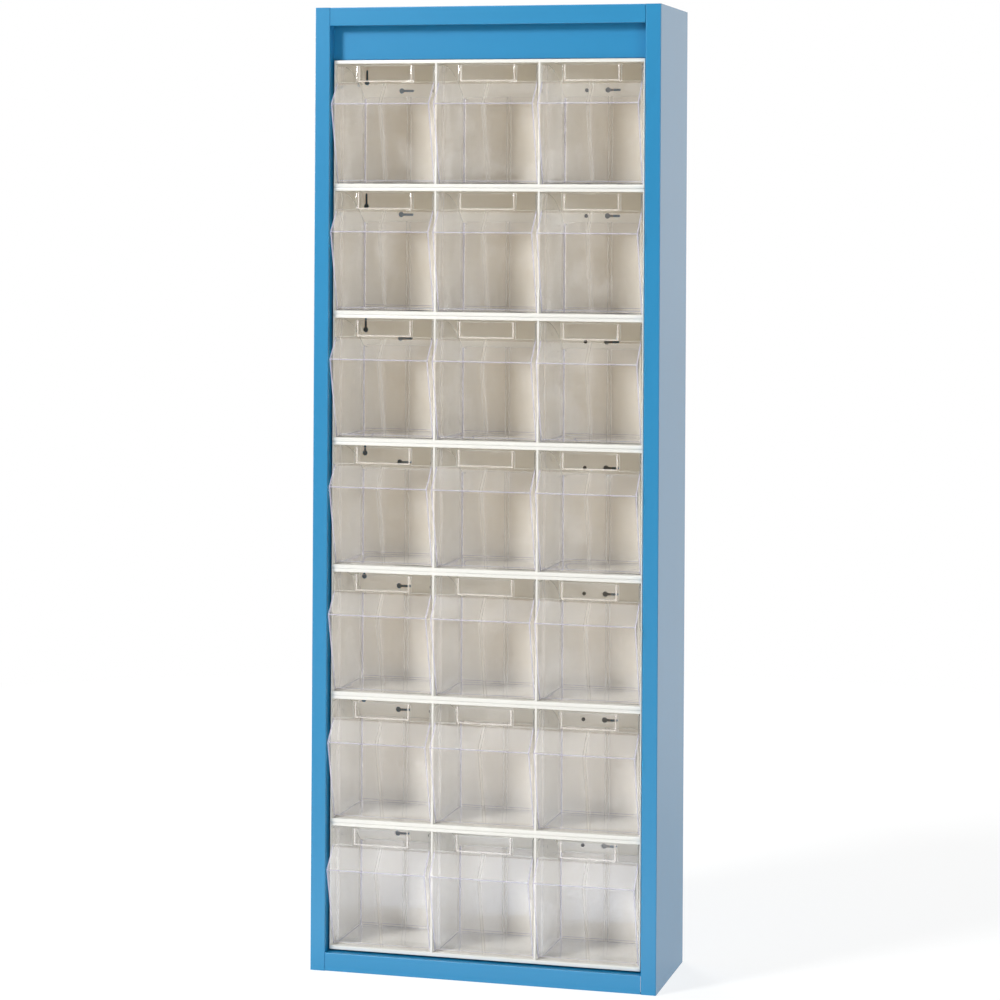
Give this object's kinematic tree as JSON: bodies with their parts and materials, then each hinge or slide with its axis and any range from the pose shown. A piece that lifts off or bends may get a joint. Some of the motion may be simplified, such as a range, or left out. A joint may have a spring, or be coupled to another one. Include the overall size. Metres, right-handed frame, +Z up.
{
  "type": "bin storage cabinet",
  "caption": "Tall narrow floor-standing sheet steel cabinet holding a stack of moulded units with clear tilt-out bins that pivot at their bottom front edge.",
  "frame": {"origin": "middle of the carcass base on the floor", "axes": "+X to the viewer's right, +Y to the back, +Z up; the bins open towards -Y"},
  "size_m": [0.666, 0.2708, 1.817],
  "materials": {
    "blue_steel": "satin powder coat",
    "galvanised_steel": "galvanised",
    "rivet_aluminium": "plain",
    "dark_screw": "blackened steel",
    "white_casing": "moulded satin",
    "clear_bin": "clear moulded"
  },
  "bodies": {
    "cabinet": {"side_panel_left": "blue_steel", "side_panel_right": "blue_steel", "top_panel": "blue_steel", "bottom_panel": "blue_steel", "blank_panel": "blue_steel", "back_panel": "blue_steel", "mounting_upright_left": "galvanised_steel", "mounting_upright_right": "galvanised_steel", "back_rivets": "rivet_aluminium", "unit_screws": "dark_screw", "unit_casing_1": "white_casing", "unit_casing_2": "white_casing", "unit_casing_3": "white_casing", "unit_casing_4": "white_casing", "unit_casing_5": "white_casing", "unit_casing_6": "white_casing", "unit_casing_7": "white_casing"},
    "bin_1_1": {"bin_1_1": "clear_bin"},
    "bin_1_2": {"bin_1_2": "clear_bin"},
    "bin_1_3": {"bin_1_3": "clear_bin"},
    "bin_2_1": {"bin_2_1": "clear_bin"},
    "bin_2_2": {"bin_2_2": "clear_bin"},
    "bin_2_3": {"bin_2_3": "clear_bin"},
    "bin_3_1": {"bin_3_1": "clear_bin"},
    "bin_3_2": {"bin_3_2": "clear_bin"},
    "bin_3_3": {"bin_3_3": "clear_bin"},
    "bin_4_1": {"bin_4_1": "clear_bin"},
    "bin_4_2": {"bin_4_2": "clear_bin"},
    "bin_4_3": {"bin_4_3": "clear_bin"},
    "bin_5_1": {"bin_5_1": "clear_bin"},
    "bin_5_2": {"bin_5_2": "clear_bin"},
    "bin_5_3": {"bin_5_3": "clear_bin"},
    "bin_6_1": {"bin_6_1": "clear_bin"},
    "bin_6_2": {"bin_6_2": "clear_bin"},
    "bin_6_3": {"bin_6_3": "clear_bin"},
    "bin_7_1": {"bin_7_1": "clear_bin"},
    "bin_7_2": {"bin_7_2": "clear_bin"},
    "bin_7_3": {"bin_7_3": "clear_bin"}
  },
  "joints": [
    {"name": "tilt_1_1", "type": "hinge", "parent": "cabinet", "child": "bin_1_1", "pos_m": [-0.19967, -0.097, 1.4909], "axis": [1, 0, 0], "range_deg": [0, 44]},
    {"name": "tilt_1_2", "type": "hinge", "parent": "cabinet", "child": "bin_1_2", "pos_m": [0, -0.097, 1.4909], "axis": [1, 0, 0], "range_deg": [0, 44]},
    {"name": "tilt_1_3", "type": "hinge", "parent": "cabinet", "child": "bin_1_3", "pos_m": [0.19967, -0.097, 1.4909], "axis": [1, 0, 0], "range_deg": [0, 44]},
    {"name": "tilt_2_1", "type": "hinge", "parent": "cabinet", "child": "bin_2_1", "pos_m": [-0.19967, -0.097, 1.2509], "axis": [1, 0, 0], "range_deg": [0, 44]},
    {"name": "tilt_2_2", "type": "hinge", "parent": "cabinet", "child": "bin_2_2", "pos_m": [0, -0.097, 1.2509], "axis": [1, 0, 0], "range_deg": [0, 44]},
    {"name": "tilt_2_3", "type": "hinge", "parent": "cabinet", "child": "bin_2_3", "pos_m": [0.19967, -0.097, 1.2509], "axis": [1, 0, 0], "range_deg": [0, 44]},
    {"name": "tilt_3_1", "type": "hinge", "parent": "cabinet", "child": "bin_3_1", "pos_m": [-0.19967, -0.097, 1.0109], "axis": [1, 0, 0], "range_deg": [0, 44]},
    {"name": "tilt_3_2", "type": "hinge", "parent": "cabinet", "child": "bin_3_2", "pos_m": [0, -0.097, 1.0109], "axis": [1, 0, 0], "range_deg": [0, 44]},
    {"name": "tilt_3_3", "type": "hinge", "parent": "cabinet", "child": "bin_3_3", "pos_m": [0.19967, -0.097, 1.0109], "axis": [1, 0, 0], "range_deg": [0, 44]},
    {"name": "tilt_4_1", "type": "hinge", "parent": "cabinet", "child": "bin_4_1", "pos_m": [-0.19967, -0.097, 0.7709], "axis": [1, 0, 0], "range_deg": [0, 44]},
    {"name": "tilt_4_2", "type": "hinge", "parent": "cabinet", "child": "bin_4_2", "pos_m": [0, -0.097, 0.7709], "axis": [1, 0, 0], "range_deg": [0, 44]},
    {"name": "tilt_4_3", "type": "hinge", "parent": "cabinet", "child": "bin_4_3", "pos_m": [0.19967, -0.097, 0.7709], "axis": [1, 0, 0], "range_deg": [0, 44]},
    {"name": "tilt_5_1", "type": "hinge", "parent": "cabinet", "child": "bin_5_1", "pos_m": [-0.19967, -0.097, 0.5309], "axis": [1, 0, 0], "range_deg": [0, 44]},
    {"name": "tilt_5_2", "type": "hinge", "parent": "cabinet", "child": "bin_5_2", "pos_m": [0, -0.097, 0.5309], "axis": [1, 0, 0], "range_deg": [0, 44]},
    {"name": "tilt_5_3", "type": "hinge", "parent": "cabinet", "child": "bin_5_3", "pos_m": [0.19967, -0.097, 0.5309], "axis": [1, 0, 0], "range_deg": [0, 44]},
    {"name": "tilt_6_1", "type": "hinge", "parent": "cabinet", "child": "bin_6_1", "pos_m": [-0.19967, -0.097, 0.2909], "axis": [1, 0, 0], "range_deg": [0, 44]},
    {"name": "tilt_6_2", "type": "hinge", "parent": "cabinet", "child": "bin_6_2", "pos_m": [0, -0.097, 0.2909], "axis": [1, 0, 0], "range_deg": [0, 44]},
    {"name": "tilt_6_3", "type": "hinge", "parent": "cabinet", "child": "bin_6_3", "pos_m": [0.19967, -0.097, 0.2909], "axis": [1, 0, 0], "range_deg": [0, 44]},
    {"name": "tilt_7_1", "type": "hinge", "parent": "cabinet", "child": "bin_7_1", "pos_m": [-0.19967, -0.097, 0.0509], "axis": [1, 0, 0], "range_deg": [0, 44]},
    {"name": "tilt_7_2", "type": "hinge", "parent": "cabinet", "child": "bin_7_2", "pos_m": [0, -0.097, 0.0509], "axis": [1, 0, 0], "range_deg": [0, 44]},
    {"name": "tilt_7_3", "type": "hinge", "parent": "cabinet", "child": "bin_7_3", "pos_m": [0.19967, -0.097, 0.0509], "axis": [1, 0, 0], "range_deg": [0, 44]}
  ]
}
